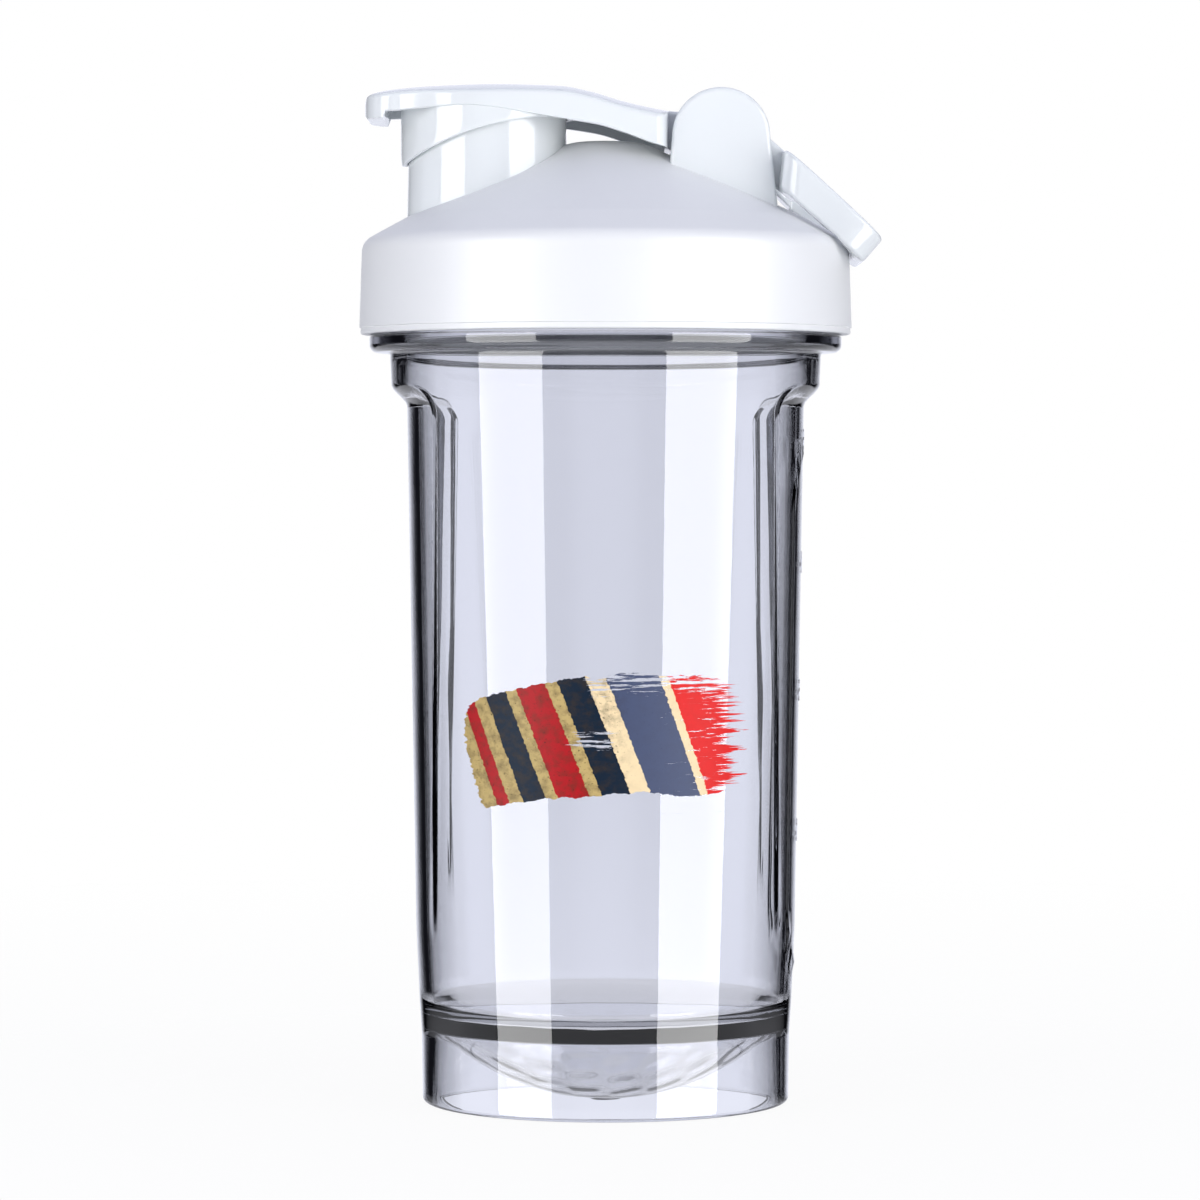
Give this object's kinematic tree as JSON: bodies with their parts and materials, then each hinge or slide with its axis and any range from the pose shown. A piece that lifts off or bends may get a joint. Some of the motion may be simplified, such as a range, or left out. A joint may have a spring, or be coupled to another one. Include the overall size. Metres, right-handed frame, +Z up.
{
  "type": "protein shaker bottle",
  "caption": "Clear tapered shaker cup with side grip recesses and a domed bottom, white screw lid with a capped drinking spout and a carry loop.",
  "frame": {"origin": "on the ground under the middle of the bottle's outline; the cup's axis is at x = -2.65 mm, because the carry loop stands out on the +X side", "axes": "+Z up, +X towards the hinge and the carry loop, -X towards the drinking spout, -Y towards the printed front"},
  "size_m": [0.1035, 0.0982, 0.2029],
  "materials": {
    "clear_plastic": "clear, polished",
    "white_satin": "fine satin",
    "white_gloss": "polished",
    "pin_plastic": "polished",
    "silicone": "satin"
  },
  "bodies": {
    "cup": {"cup": "clear_plastic"},
    "seal": {"lid_seal": "silicone"},
    "lid": {"lid_shell": "white_satin", "hinge_pin": "pin_plastic"},
    "cap": {"flip_cap": "white_gloss", "spout_plug": "silicone"},
    "loop": {"carry_loop": "white_gloss"}
  },
  "joints": [
    {"name": "lid_rise", "type": "slide", "parent": "cup", "child": "seal", "axis": [0, 0, 1], "range_m": [0, 0.01601]},
    {"name": "lid_turn", "type": "hinge", "parent": "seal", "child": "lid", "pos_m": [-0.00265, 0, 0.16], "axis": [0, 0, 1], "range_deg": [0, 720]},
    {"name": "cap_flip", "type": "hinge", "parent": "lid", "child": "cap", "pos_m": [0.02015, 0, 0.192], "axis": [0, 1, 0], "range_deg": [0, 100]},
    {"name": "loop_swing", "type": "hinge", "parent": "lid", "child": "loop", "pos_m": [0.02015, 0, 0.192], "axis": [0, -1, 0], "range_deg": [0, 60]}
  ],
  "couplings": [
    {"joint": "lid_rise", "follows": "lid_turn", "m_per_rad": 0.0012732}
  ]
}
